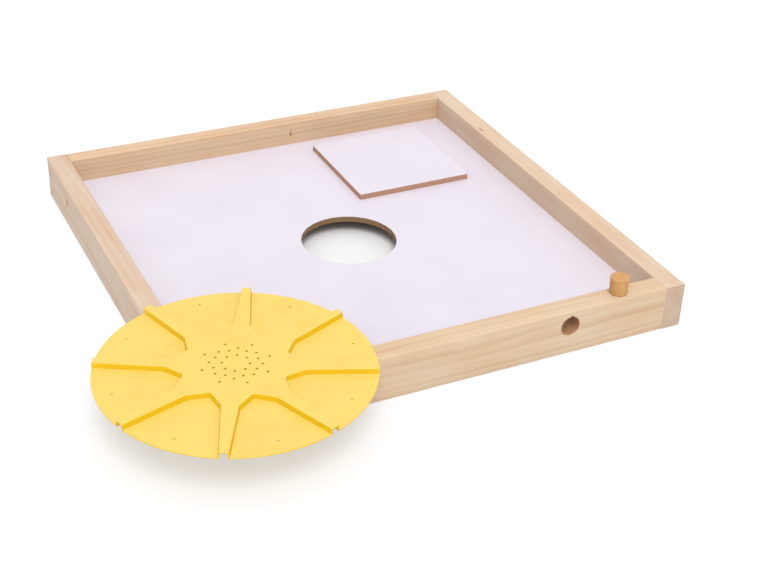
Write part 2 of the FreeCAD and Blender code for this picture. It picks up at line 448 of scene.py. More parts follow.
def rail(name, node, along, seed, radii=(ARRIS,) * 4):
    """Sweep a rail in its node's box: profile in the two cross directions, stations along it.

    A point is the profile's point, moved inwards by the wear at that place, which is strongest on
    the corners, and at the ends by a quarter circle that eases them.
    """
    low, high = (np.array(corner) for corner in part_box(node))
    line = 0 if along == "X" else 1
    across = 1 - line
    length = high[line] - low[line]
    ring, around = rail_profile(high[across] - low[across], high[2] - low[2], radii)

    ease = np.radians(np.linspace(0, 90, 4))
    start = END_EASE * (1 - np.cos(ease))
    middle = np.linspace(END_EASE, length - END_EASE, 61)[1:-1]
    station = np.concatenate([start, middle, length - start[::-1]])
    inset = np.zeros_like(station)
    inset[:4] = END_EASE * (1 - np.sin(ease))
    inset[-4:] = inset[:4][::-1]

    corner_share = 4 * np.abs(around[:, 0] * around[:, 1])[None, :] ** 2
    wear = np.stack([unevenness(station, 14 * MM, seed + k) for k in range(4)], axis=1)
    quarter = np.floor(np.arctan2(around[:, 1], around[:, 0]) / (np.pi / 2) + 0.001).astype(int) % 4
    inward = inset[:, None] + ARRIS_WEAR * corner_share * wear[:, quarter] ** 2

    grid = np.zeros((len(station), len(ring), 3))
    grid[:, :, line] = low[line] + station[:, None]
    for column, axis in enumerate((across, 2)):
        centre = (low[axis] + high[axis]) / 2
        grid[:, :, axis] = centre + ring[None, :, column] - inward * around[None, :, column]
    return surface(name, [grid], close_columns=True, cap_rows=True)


WORN_CORNER = 2.6 * MM
rails = {
    "left_rail": rail("left_rail_planed", "left_rail", "Y", 21),
    "right_rail": rail("right_rail_planed", "right_rail", "Y", 22, (ARRIS, WORN_CORNER, ARRIS, ARRIS)),
    "front_rail": rail("front_rail_planed", "front_rail", "X", 23),
    "back_rail": rail("back_rail_planed", "back_rail", "X", 24),
}
print("points in a rail:", len(rails["left_rail"].data.vertices))

# %% [markdown]
# The front rail has the entrance hole. Its mount in the frame says where it is and how wide. A spade
# bit leaves the mouth a little torn, so the cutter is a tube that flares by a fraction of a
# millimetre at both faces and bulges over a short stretch at the top, where a splinter came away.

# %% Bore the entrance hole
entrance = mounts["entrance_hole"]
entrance_radius = entrance["dims"]["r_mm"] * MM
front_low, front_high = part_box("front_rail")
front_depth = front_high[1] - front_low[1]
BORE_LEAD = 2 * MM


def torn_bore(angle, depth):
    """Return the entrance hole's radius: even, flared at both faces, chipped at the top outside."""
    inside = depth - BORE_LEAD
    to_face = np.minimum(np.abs(inside), np.abs(front_depth - inside))
    flare = 0.35 * MM * np.exp(-to_face / (0.6 * MM))
    turn = (angle + np.pi - 0.12) % (2 * np.pi) - np.pi
    chip = 1.5 * MM * np.exp(-(turn / 0.17) ** 2 - (np.maximum(inside, 0) / (3 * MM)) ** 2)
    ragged = 0.12 * MM * (unevenness(angle * entrance_radius, 1.5 * MM, 5) - 0.5)
    return entrance_radius + flare + chip + ragged * np.exp(-to_face / (1.5 * MM))


bore_start = (entrance["pos_m"][0], front_low[1] - BORE_LEAD, entrance["pos_m"][2])
bore_depths = np.concatenate([
    [0.0, 1.99], np.linspace(2.0, 8, 13), np.linspace(9, front_depth / MM + 1.5, 8),
    [front_depth / MM + 2, front_depth / MM + 4]]) * MM
carve(rails["front_rail"], [tube(bore_start, (0, 1, 0), torn_bore, bore_depths, 64)])
print(f"entrance hole: {2 * entrance_radius / MM:.2f} mm wide, {front_depth / MM:.2f} mm deep")

# %% [markdown]
# No rail is perfect stock. The back one has a hairline crack that ends in a pin hole, the right one
# a short slit where a sliver lifted, and the left one a tiny dead knot. The nail heads sit a hair
# below the wood, so each gets a shallow dish.

# %% Flaws and nail seats
left_low, left_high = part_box("left_rail")
right_low, right_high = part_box("right_rail")
back_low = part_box("back_rail")[0]
NAIL_SEATS = {}
for corner in ("front_left", "front_right", "back_left", "back_right"):
    low, high = (np.array(point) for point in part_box("nails_" + corner))
    head_radius = (high[1] - low[1]) / 2
    middle = (low[1] + high[1]) / 2
    side = -1 if "left" in corner else 1
    face = low[0] if side < 0 else high[0]
    NAIL_SEATS[corner] = [(side, face, middle, z) for z in (low[2] + head_radius, high[2] - head_radius)]

# The cutters are spindles, given by a place on the wood's surface and half sizes in X, Y and Z.
DISH_HALF_SIZES = (0.9 * MM, 3.3 * MM, 3.3 * MM)
dishes = {"left_rail": [], "right_rail": []}
for seats in NAIL_SEATS.values():
    for side, face, y, z in seats:
        dish = spindle((face, y, z), DISH_HALF_SIZES, rings=9, turns=24)
        dishes["left_rail" if side < 0 else "right_rail"].append(dish)
KNOT_FROM_BACK, SLIT_FROM_BACK = 72 * MM, 109 * MM
knot_line = left_high[1] - KNOT_FROM_BACK
knot = spindle((left_low[0], knot_line, 7 * MM), (0.7 * MM, 0.9 * MM, 1.0 * MM))
slit_middle = (right_low[0] + 5 * MM, right_high[1] - SLIT_FROM_BACK, right_high[2])
slit = spindle(slit_middle, (0.25 * MM, 5 * MM, 0.8 * MM))
crack = spindle((28.4 * MM, back_low[1], 16.0 * MM), (0.08 * MM, 0.5 * MM, 3.2 * MM))
pin_hole = spindle((27.6 * MM, back_low[1], 11.0 * MM), (0.75 * MM, 1.6 * MM, 0.75 * MM))
carve(rails["left_rail"], dishes["left_rail"] + [knot])
carve(rails["right_rail"], dishes["right_rail"] + [slit])
carve(rails["back_rail"], [crack, pin_hole])
print("dishes:", {name: len(grids) for name, grids in dishes.items()})

# %% [markdown]
# Each rail is cut from its own tree: the heart line's place and the rings' spacing give it a figure of
# its own. The knot, the slit and the pin hole are each ringed by a stain. The bore's wall and a thin
# ring round its mouth are darkened by the same kind of mark, long enough in Y to reach through the rail.

# %% Wood for the rails
THROUGH = 1.0
# The bore is made darker on its wall and in a thin ring round its mouth.
bore_darkening_radius = entrance_radius + 1.2 * MM
bore_darkening = (tuple(entrance["pos_m"]), (bore_darkening_radius, THROUGH, bore_darkening_radius), "#D6B79C", 0.95)
knot_stain = ((left_low[0], knot_line, 8 * MM), (2.5 * MM, 3.2 * MM, 7.0 * MM), "#CDB39F")
slit_stain = (slit_middle, (1.6 * MM, 7.0 * MM, 2.0 * MM), "#E4D0BC")
pin_stain = ((27.8 * MM, back_low[1], 12.5 * MM), (1.5 * MM, 3.0 * MM, 4.5 * MM), "#E2C8AF")
wood = {
    "left_rail": pine("pine_left_rail", "Y", (-0.278, -0.020), 5.2 * MM, 3.0, stains=[knot_stain]),
    "right_rail": pine(
        "pine_right_rail", "Y", (0.2085, -0.002), 2.6 * MM, 11.0, early="#CEB8A1", contrast=0.4,
        stains=[slit_stain]),
    "front_rail": pine(
        "pine_front_rail", "X", (-0.262, 0.035), 6.2 * MM, 7.0, early="#CDB698", late="#B99574",
        contrast=0.45, stains=[bore_darkening]),
    "back_rail": pine(
        "pine_back_rail", "X", (0.250, -0.045), 5.0 * MM, 19.0, early="#CEB293", late="#B68E6A",
        contrast=0.42, stains=[pin_stain]),
}
for node, piece in rails.items():
    soften(piece)
    settle(piece, "board", node, wood[node])

# %% [markdown]
# ## Nails
#
# Each corner is held by two round-head nails. A nail is a surface of revolution: a low domed head, a
# shank and a point, all given by one list of distances along the axis and radii. The heads lie in
# their dishes, just below the wood, dull with a trace of oxide.


# %% Nails
def nail_metal():
    """Return dull drawn steel, blotched with brown oxide at a scale of about a millimetre."""
    material, tree, shader, place = new_finish("drawn_steel_oxidised", Metallic=0.85, Roughness=0.5)
    blotch = add(tree, "TexNoise", {"Vector": place, "Scale": 900.0, "Detail": 3.0}).outputs["Fac"]
    colour = two_tone(tree, blotch, 0.4, 0.65, "#B9B2A8", "#8C7460")
    tree.links.new(colour.outputs[2], shader.inputs["Base Color"])
    rough = add(tree, "MapRange", {"Value": blotch, "To Min": 0.35, "To Max": 0.7}).outputs["Result"]
    tree.links.new(rough, shader.inputs["Roughness"])
    return material


HEAD_SINK = 0.12 * MM
steel = nail_metal()
nail_depths = np.array([0, 0.02, 0.08, 0.2, 0.45, 0.75, 0.88, 0.92, 1.1, 20, 45.9, 49.5, 49.9]) * MM
nail_radii = np.array([0.01, 0.9, 1.6, 2.15, 2.42, 2.42, 2.2, 1.3, 1.15, 1.15, 1.15, 0.2, 0.01]) * MM
for corner, seats in NAIL_SEATS.items():
    shafts = [
        tube((face - side * HEAD_SINK, y, z), (-side, 0, 0),
             lambda angle, depth: np.interp(depth, nail_depths, nail_radii), nail_depths, 24)
        for side, face, y, z in seats]
    nails = surface("nails_" + corner + "_driven", shafts, close_columns=True, cap_rows=True)
    soften(nails, 40.0)
    settle(nails, "board", "nails_" + corner, steel)

# %% [markdown]
# ## Hardboard with a white melamine face
#
# Hardboard is wood fibre pressed hot and hard. Its sawn edge is brown felt in thin layers, its back
# carries the print of the wire screen it was pressed on, and its face here is a thin skin of white
# melamine, satin and very slightly mottled. The fibre is drawn as noise squashed along the
# thickness, and the screen as two crossed waves 1.6 mm apart, seen only from below.


# %% Hardboard and melamine
def hardboard(name, light, dark):
    """Return pressed brown fibre, in flakes 2.4 mm wide and 0.7 mm thick, screened underneath."""
    material, tree, shader, place = new_finish(name, Roughness=0.85, IOR=1.45)
    shader.inputs["Specular IOR Level"].default_value = 0.3
    layers = add(tree, "Mapping", {"Vector": place, "Scale": (420.0, 420.0, 1500.0)})
    fibre = add(tree, "TexNoise", {
        "Vector": layers.outputs["Vector"], "Scale": 1.0, "Detail": 4.0, "Roughness": 0.65})
    fibre = fibre.outputs["Fac"]
    colour = two_tone(tree, fibre, 0.3, 0.7, dark, light)
    tree.links.new(colour.outputs[2], shader.inputs["Base Color"])

    turned = add(tree, "Mapping", {"Vector": place, "Rotation": (0, 0, 0.02)}).outputs["Vector"]
    warp = add(tree, "TexWave", {"Vector": turned, "Scale": 196.0}, bands_direction="X").outputs["Fac"]
    weft = add(tree, "TexWave", {"Vector": turned, "Scale": 196.0}, bands_direction="Y").outputs["Fac"]
    screen = add(tree, "Math", {0: warp, 1: weft}, operation="MULTIPLY").outputs[0]
    down = add(tree, "SeparateXYZ", {0: add(tree, "NewGeometry").outputs["True Normal"]}).outputs["Z"]
    down = add(tree, "MapRange", {
        "Value": down, "From Min": -0.5, "From Max": -0.95}).outputs["Result"]
    screen = add(tree, "Math", {0: screen, 1: down}, operation="MULTIPLY").outputs[0]
    height = add(tree, "Math", {0: fibre, 1: 0.8, 2: screen}, operation="MULTIPLY_ADD").outputs[0]
    bump = add(tree, "Bump", {"Height": height, "Strength": 0.8, "Distance": 0.25 * MM})
    tree.links.new(bump.outputs["Normal"], shader.inputs["Normal"])
    return material


def melamine():
    """Return a satin white skin with a faint lilac cast, mottled at 80 mm and pebbled at 1 mm."""
    material, tree, shader, place = new_finish("white_melamine_satin", Roughness=0.42, IOR=1.5)
    mottle = add(tree, "TexNoise", {"Vector": place, "Scale": 13.0, "Detail": 3.0}).outputs["Fac"]
    colour = two_tone(tree, mottle, 0.35, 0.65, "#CFC8D3", "#D2CBD5")
    tree.links.new(colour.outputs[2], shader.inputs["Base Color"])
    pebble = add(tree, "TexNoise", {"Vector": place, "Scale": 900.0, "Detail": 2.0}).outputs["Fac"]
    bump = add(tree, "Bump", {"Height": pebble, "Strength": 0.12, "Distance": 0.03 * MM})
    tree.links.new(bump.outputs["Normal"], shader.inputs["Normal"])
    rough = add(tree, "MapRange", {"Value": pebble, "To Min": 0.38, "To Max": 0.48}).outputs["Result"]
    tree.links.new(rough, shader.inputs["Roughness"])
    return material


# The panel's fibre is a much darker copy of the cover's, though both come from one sheet: painted shade
# on the bee hole's wall, the panel's edges and its underside.
panel_fibre_painted_shade = hardboard("hardboard_panel_painted_shade", "#9A7A58", "#6E543C")
cover_fibre = hardboard("hardboard_cover", "#C49A80", "#98705C")
skin = melamine()
print("finishes:", panel_fibre_painted_shade.name, cover_fibre.name, skin.name)

# %% [markdown]
# ## The panel
#
# The panel is one square sheet with a round hole, in two layers. Each layer is a grid bent into a
# ring: columns run round the hole, and rows go up the hole's wall, out across the face to the
# square edge, and back below. A column's outer point is where its ray meets the square, so the grid
# blends a circle into a square. The hole was cut with a jigsaw, so its wall isn't quite true.


# %% Holed sheets
hole_radius = mounts["bee_hole"]["dims"]["r_mm"] * MM


def holed_sheet(name, node, ease, seed, ragged):
    """Return a layer of the panel as a ring-shaped grid between the round hole and the square edge.

    A point's place is its column's direction times a radius: the hole's radius plus the unevenness
    on the wall, and across the faces a blend from there to the distance at which the direction
    meets the square.
    """
    low, high = (np.array(corner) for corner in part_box(node))
    corners = np.arctan2([low[1], low[1], high[1], high[1]], [low[0], high[0], high[0], low[0]])
    corners = np.unwrap(np.append(corners, corners[0] + 2 * np.pi))
    angle = np.concatenate([
        np.linspace(start, end, 72, endpoint=False) for start, end in zip(corners[:-1], corners[1:])])
    direction = np.stack([np.cos(angle), np.sin(angle)], axis=1)
    with np.errstate(divide="ignore"):
        reach = np.where(direction > 0, high[:2], low[:2]) / direction
    square = np.min(np.abs(reach), axis=1)
    wall = hole_radius + ragged * (unevenness(angle * hole_radius, 3 * MM, seed) - 0.5)
    share = np.array([0.0, 0.004, 0.05, 0.3, 0.65, 1.0])[:, None]
    face = wall * (1 - share) + square * share
    rise = np.linspace(low[2] + ease, high[2] - ease, 5)
    bent = face + ease * (1 - share)
    radius = np.vstack([np.repeat(wall[None, :], 5, axis=0), bent, bent[::-1]])
    height = np.concatenate([rise, np.full(6, high[2]), np.full(6, low[2])])
    grid = np.zeros((len(height), len(angle), 3))
    grid[:, :, :2] = radius[:, :, None] * direction[None, :, :]
    grid[:, :, 2] = height[:, None]
    return surface(name, [grid], close_rows=True, close_columns=True)


panel_core = holed_sheet("panel_core_pressed", "panel_core", 0.25 * MM, 31, 0.35 * MM)
panel_facing = holed_sheet("panel_facing_skin", "panel_facing", 0.05 * MM, 31, 0.3 * MM)
for piece, node, slot, finish in (
        (panel_core, "panel_core", "hardboard", panel_fibre_painted_shade),
        (panel_facing, "panel_facing", "melamine", skin)):
    soften(piece)
    settle(piece, "board", node, finish)

# %% [markdown]
# ## The cover plate
#
# The cover is an offcut of the same sheet, sawn square. It is swept the other way: rows of the grid
# are outlines of the square with rounded corners, one inside the other over the top, down the sawn
# edge, and back in underneath. The saw leaves the edge slightly wavy, and a whisker of the white
# skin has chipped away along it.


# %% Sawn plates
def rounded_square(half, radius, per_side=60, per_corner=6):
    """Return points and outward directions round a square with rounded corners."""
    points, normals = rail_profile(2 * half, 2 * half, (radius,) * 4, per_corner)
    gaps = np.linalg.norm(np.roll(points, -1, axis=0) - points, axis=1)
    place = np.concatenate([[0.0], np.cumsum(gaps)])
    even = np.linspace(0, place[-1], 4 * per_side, endpoint=False)
    steps = np.unique(np.concatenate([place[:-1], even]))
    closed, around = np.vstack([points, points[:1]]), np.vstack([normals, normals[:1]])
    outline = np.stack([np.interp(steps, place, closed[:, k]) for k in (0, 1)], axis=1)
    facing = np.stack([np.interp(steps, place, around[:, k]) for k in (0, 1)], axis=1)
    return outline, facing, steps


def sawn_plate(name, node, corner, ease, seed, ragged, lift=0.0):
    """Return a layer of the cover as nested outlines that wrap over its faces and edge.

    On the faces an outline is the square's, scaled towards the middle. On the edge it is the
    square's, moved in by the saw's waviness. lift raises the underside, so that it doesn't lie in
    the very plane of the sheet below it.
    """
    low, high = (np.array(point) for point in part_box(node))
    low[2] += lift
    centre = (low + high) / 2
    outline, facing, steps = rounded_square((high[0] - low[0]) / 2, corner)
    wave = ragged * unevenness(steps, 2.5 * MM, seed)
    outline = outline - facing * wave[:, None]
    scale = np.array([0.0, 0.35, 0.7, 0.93, 0.99])
    over = scale[:, None, None] * outline
    eased = outline - facing * ease
    rise = np.linspace(high[2] - ease, low[2] + ease, 5)
    rows = [over, eased[None], np.repeat(outline[None], 5, axis=0), eased[None], over[::-1]]
    height = np.concatenate([np.full(6, high[2]), rise, np.full(6, low[2])])
    flat = np.concatenate(rows, axis=0) + centre[:2]
    grid = np.concatenate([flat, np.broadcast_to(height[:, None, None], flat.shape[:2] + (1,))], axis=2)
    return surface(name, [grid], close_columns=True)


PLATE_CORNER = 1.5 * MM
PLATE_LIFT = 0.03 * MM
cover_core = sawn_plate(
    "cover_core_sawn", "cover_core", PLATE_CORNER, 0.15 * MM, 41, 0.3 * MM, PLATE_LIFT)
cover_facing = sawn_plate("cover_facing_skin", "cover_facing", PLATE_CORNER, 0.05 * MM, 43, 0.25 * MM)
for piece, node, slot, finish in (
        (cover_core, "cover_core", "hardboard", cover_fibre),
        (cover_facing, "cover_facing", "melamine", skin)):
    soften(piece)
    settle(piece, "cover", node, finish)

# %% [markdown]
# ## The cork plug
#
# The plug is a turned taper of natural cork. It is a surface of revolution whose radius follows the
# taper and its two eased rims, with pits where bark pores were cut open. The pits are placed by a
# seeded random generator and pushed in by a few tenths of a millimetre.


# %% Cork plug
PLUG_CLEARANCE = 0.5 * MM
PIT_COUNT = 26


def cork():
    """Return natural cork: warm tan, mottled at 2.4 mm, with sparse dark pores 3 mm apart."""
    material, tree, shader, place = new_finish("natural_cork", Roughness=0.75, IOR=1.45)
    grain = add(tree, "TexNoise", {
        "Vector": place, "Scale": 420.0, "Detail": 4.0, "Roughness": 0.6}).outputs["Fac"]
    colour = two_tone(tree, grain, 0.3, 0.7, "#B8854F", "#C99A66")
    pores = add(tree, "TexVoronoi", {"Vector": place, "Scale": 330.0}).outputs["Distance"]
    speck = add(tree, "MapRange", {
        "Value": pores, "From Min": 0.12, "From Max": 0.04, "To Max": 0.6}).outputs["Result"]
    colour = add(tree, "Mix", {0: speck, 6: colour.outputs[2], 7: linear("#8A5C33")}, data_type="RGBA")
    tree.links.new(colour.outputs[2], shader.inputs["Base Color"])
    bump = add(tree, "Bump", {"Height": grain, "Strength": 0.5, "Distance": 0.2 * MM})
    tree.links.new(bump.outputs["Normal"], shader.inputs["Normal"])
    return material


def turned_plug():
    """Return the plug as rings: out over the base, up the taper, and in over the top.

    Height is a list of steps with a quarter circle at each rim. Radius is the taper between the
    base's and the top's, less the rims' rounding, less the pits.
    """
    low, high = (np.array(corner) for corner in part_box("entrance_plug"))
    centre, height = (low + high) / 2, high[2] - low[2]
    top_radius = (high[0] - low[0]) / 2
    base_radius = entrance_radius - PLUG_CLEARANCE
    rim = 0.6 * MM
    arc = np.radians(np.linspace(0, 90, 5))
    rise = np.concatenate([
        [0.0] * 4, rim * (1 - np.cos(arc)), np.linspace(rim, height - rim, 30)[1:-1],
        height - rim * (1 - np.cos(arc[::-1])), [height] * 4])
    inset = np.concatenate([
        [0.0] * 4, rim * (1 - np.sin(arc)), np.zeros(28), rim * (1 - np.sin(arc[::-1])), [0.0] * 4])
    part = np.concatenate([np.array([0, 0.3, 0.65, 0.85]), np.ones(38), np.array([0.85, 0.65, 0.3, 0])])
    angle = np.linspace(0, 2 * np.pi, 96, endpoint=False)
    taper = base_radius + (top_radius - base_radius) * rise / height
    radius = ((taper - inset) * part)[:, None] * np.ones_like(angle)
    random = np.random.default_rng(61)
    for _ in range(PIT_COUNT):
        z, turn = random.uniform(0.1, 0.9) * height, random.uniform(0, 2 * np.pi)
        size = random.uniform(0.35, 0.8) * MM
        gap = (angle - turn + np.pi) % (2 * np.pi) - np.pi
        away = ((rise - z)[:, None] / size) ** 2 + (gap * top_radius / size)[None, :] ** 2
        radius = radius - random.uniform(0.1, 0.4) * MM * np.exp(-away ** 2) * (part == 1)[:, None]
    grid = np.stack([
        centre[0] + radius * np.cos(angle), centre[1] + radius * np.sin(angle),
        low[2] + np.repeat(rise[:, None], len(angle), axis=1)], axis=-1)
    grid[-4:, :, 2] -= 0.15 * MM * np.array([0.4, 0.8, 1.0, 1.0])[:, None]
    return surface("entrance_plug_cork", [grid], close_columns=True)


plug = turned_plug()
soften(plug, 50.0)
settle(plug, "plug", "entrance_plug", cork())

# %% [markdown]
# ## The bee escape
#
# The escape is one thin moulding: a flat flange with a raised eight-armed star, hollow beneath, whose
# arms are the channels the bees leave by. It could be cut from blocks, but a moulded sheet is easier
# to believe when its grid follows the moulding. Half of one sector, from the sector's middle to the
# channel's middle, is enough: its grid runs along the foot of the star's wall one way, and across
# the wall the other. Sixteen copies, every second one mirrored, weld into the whole disc.

# %% Sizes of the escape
escape_low, escape_high = (np.array(corner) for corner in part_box("bee_escape"))
escape_centre = (escape_low + escape_high) / 2
ESCAPE_RADIUS = (escape_high[0] - escape_low[0]) / 2
SHEET = 1.2 * MM
STAR_RISE = 5.0 * MM
WALL_LEAN = 0.7 * MM
ROOT_RADIUS, ROOT_WIDTH, MOUTH_WIDTH = 56.6 * MM, 13.9 * MM, 7.5 * MM
APEX_RADIUS, CORNER_ROUND = 43.8 * MM, 3.0 * MM
SECTORS = 8
HALF_STEP = math.pi / SECTORS
ESCAPE_TURN = math.radians(-2.6)
RIM_EASE = 0.25 * MM
print("escape centre (mm):", (escape_centre / MM).round(2), "radius", round(ESCAPE_RADIUS / MM, 2))

# %% [markdown]
# The outline of a sector runs from its rounded apex along the shoulder, round the root of the
# channel, and along the channel to the rim. It is held as a spine, one corner radius inside the
# outline, and a direction for each point of it. A line at any distance from the outline is then the
# spine less that direction times the radius, so it never crosses itself.


# %% The foot of the wall
APEX_STEPS, SHOULDER_STEPS, ROOT_STEPS = 9, 5, 6


def wall_lines(offsets, end_radius):
    """Return points, in a sector's own plane, of lines at given offsets from its outline.

    The result has one row for each step along the outline and one column for each offset, positive
    into the sector. The last row lies on the circle of end_radius.
    """
    root = np.array([
        ROOT_RADIUS * math.cos(HALF_STEP) + ROOT_WIDTH / 2 * math.sin(HALF_STEP),
        ROOT_RADIUS * math.sin(HALF_STEP) - ROOT_WIDTH / 2 * math.cos(HALF_STEP)])
    shoulder = math.atan2(root[1], root[0] - APEX_RADIUS)
    taper = math.atan2((ROOT_WIDTH - MOUTH_WIDTH) / 2, ESCAPE_RADIUS - ROOT_RADIUS)
    turns = np.array([0.0, math.pi / 2 - shoulder, math.pi / 2 - HALF_STEP - taper])
    inwards = np.stack([np.cos(turns), -np.sin(turns)], axis=1)
    apex_spine = np.array([APEX_RADIUS + CORNER_ROUND / math.sin(shoulder), 0.0])
    both = inwards[1] + inwards[2]
    root_spine = root + CORNER_ROUND * both / (1 + inwards[1] @ inwards[2])

    line = np.linspace(0, 1, SHOULDER_STEPS + 2)[1:-1, None]
    turn = np.concatenate([
        np.linspace(turns[0], turns[1], APEX_STEPS), np.full(SHOULDER_STEPS, turns[1]),
        np.linspace(turns[1], turns[2], ROOT_STEPS)])
    spine = np.vstack([
        np.repeat(apex_spine[None], APEX_STEPS, axis=0),
        apex_spine + (root_spine - apex_spine) * line,
        np.repeat(root_spine[None], ROOT_STEPS, axis=0)])
    inward = np.stack([np.cos(turn), -np.sin(turn)], axis=1)
    reach = (CORNER_ROUND - offsets)[None, :, None]
    near = spine[:, None, :] - reach * inward[:, None, :]

    start = near[-1]
    along = np.array([math.sin(turns[2]), math.cos(turns[2])])
    forward = start @ along
    length = -forward + np.sqrt(forward ** 2 - (start ** 2).sum(axis=1) + end_radius ** 2)
    share = np.linspace(0, 1, 23)[1:, None, None]
    far = start[None] + share * length[None, :, None] * along
    return np.concatenate([near, far], axis=0)


print("steps along the wall:", len(wall_lines(np.zeros(1), ESCAPE_RADIUS)))


def straight_or_round(start, end, shares, roundness):
    """Return points between start and end, blended from a straight line to an arc about the centre."""
    straight = start[:, None, :] + shares[None, :, None] * (end - start)[:, None, :]
    radius = [np.linalg.norm(points, axis=1) for points in (start, end)]
    angle = [np.arctan2(points[:, 1], points[:, 0]) for points in (start, end)]
    size = radius[0][:, None] + shares * (radius[1] - radius[0])[:, None]
    turn = angle[0][:, None] + shares * (angle[1] - angle[0])[:, None]
    curved = np.stack([size * np.cos(turn), size * np.sin(turn)], axis=-1)
    weight = roundness[:, None, None]
    return (1 - weight) * straight + weight * curved


# %% [markdown]
# Across the wall the sheet is a profile: flat, a rounded shoulder, the leaning wall, a rounded foot,
# flat again. Its upper and lower skins have the same number of points, so the grid can go out along
# the top, round the rim, and back along the underside as one piece.


# %% The profile across the wall
def wall_profile(top, foot, shift, top_round, foot_round, steps=6):
    """Return offsets and heights across the wall, between two flats at heights top and foot.

    The wall leans: its offset grows by WALL_LEAN over STAR_RISE on its way down. Each rounding is
    an arc that touches the flat and the wall.
    """
    lean = math.atan2(STAR_RISE, WALL_LEAN)
    upper = shift + WALL_LEAN * (SHEET + STAR_RISE - top) / STAR_RISE
    lower = shift + WALL_LEAN * (SHEET + STAR_RISE - foot) / STAR_RISE
    arc = np.linspace(0, lean, steps)
    top_start = upper - top_round * math.tan(lean / 2)
    foot_end = lower + foot_round * math.tan(lean / 2)
    offsets = np.concatenate([
        [top_start - 0.5 * MM], top_start + top_round * np.sin(arc),
        foot_end - foot_round * np.sin(arc[::-1]), [foot_end + 0.5 * MM]])
    heights = np.concatenate([
        [top], top - top_round * (1 - np.cos(arc)), foot + foot_round * (1 - np.cos(arc[::-1])), [foot]])
    return offsets, heights


def sheet_skin(profile, top, foot):
    """Return the grid of one skin of half a sector, from the channel's middle to the sector's.

    Rows follow the outline. Columns are a blend from the channel's middle line to the wall, the
    lines across the wall, and a blend from the wall to the sector's middle line.
    """
    offsets, heights = profile
    edge = wall_lines(offsets, ESCAPE_RADIUS - RIM_EASE)
    steps = np.linalg.norm(np.diff(edge[:, 0], axis=0), axis=1)
    travel = np.concatenate([[0.0], np.cumsum(steps)])
    travel = travel / travel[-1]

    channel = np.array([math.cos(HALF_STEP), math.sin(HALF_STEP)])
    beside = edge[:, 0] @ channel
    root = APEX_STEPS + SHOULDER_STEPS + ROOT_STEPS - 1
    beside[:root] = beside[root] * travel[:root] / travel[root]
    beside[root:] += (ESCAPE_RADIUS - RIM_EASE - beside[-1]) * (
        (travel[root:] - travel[root]) / (1 - travel[root]))
    middle = beside[:, None] * channel
    roundness = np.clip((travel - travel[root]) / (1 - travel[root]), 0, 1) ** 2
    star = straight_or_round(middle, edge[:, 0], np.linspace(0, 1, 8)[:-1], roundness)

    tip = edge[0, -1, 0]
    far = np.stack([tip + (ESCAPE_RADIUS - RIM_EASE - tip) * travel, np.zeros_like(travel)], axis=1)
    flange = straight_or_round(edge[:, -1], far, np.linspace(0, 1, 12)[1:], travel ** 2)

    flat = np.concatenate([star, edge, flange], axis=1)
    height = np.concatenate([np.full(star.shape[1], top), heights, np.full(flange.shape[1], foot)])
    return np.concatenate([flat, np.broadcast_to(height[None, :, None], flat.shape[:2] + (1,))], axis=2)


def half_sector():
    """Return the closed band of half a sector: out along the top, round the rim, back below."""
    upper = sheet_skin(
        wall_profile(SHEET + STAR_RISE, SHEET, 0.0, 0.7 * MM, 0.8 * MM), SHEET + STAR_RISE, SHEET)
    lower = sheet_skin(
        wall_profile(STAR_RISE, 0.0, -SHEET, 0.25 * MM, 0.6 * MM), STAR_RISE, 0.0)
    stretch = np.array([ESCAPE_RADIUS / (ESCAPE_RADIUS - RIM_EASE)] * 2 + [1.0])
    rim = [upper[-1] * stretch - (0, 0, RIM_EASE), lower[-1] * stretch + (0, 0, RIM_EASE)]
    return np.concatenate([upper, np.array(rim), lower[::-1]], axis=0)


# %% [markdown]
# The mirrored copies are turned into place and welded. The moulding isn't dead flat, so its heights
# get a slow ripple of a tenth of a millimetre. Then the pin holes near the rim and the vents over
# the middle are drilled, and the small gate mark, where the plastic entered the mould, is added.


# %% Weld, drill and finish the disc
def placed(flat, sector_turn, mirror):
    """Return a half sector turned into place round the escape's middle, mirrored if asked."""
    x, y = flat[..., 0], flat[..., 1] * (-1 if mirror else 1)
    turn = ESCAPE_TURN + sector_turn
    across = x * math.cos(turn) - y * math.sin(turn)
    back = x * math.sin(turn) + y * math.cos(turn)
    ripple = 0.12 * MM * unevenness(across + 0.4 * back, 60 * MM, 71) * unevenness(back, 70 * MM, 72)
    height = escape_low[2] + flat[..., 2] + ripple
    return np.stack([escape_centre[0] + across, escape_centre[1] + back, height], axis=-1)


def hole_ring(radius, circle, start):
    """Return eight cutting tubes of a radius on a circle, the first turned by start."""
    rings = []
    for step in range(SECTORS):
        turn = ESCAPE_TURN + start + 2 * HALF_STEP * step
        x = escape_centre[0] + circle * math.cos(turn)
        y = escape_centre[1] + circle * math.sin(turn)
        rings.append(tube((x, y, escape_low[2] - 2 * MM), (0, 0, 1), radius, [0.0, 12 * MM], 16))
    return rings


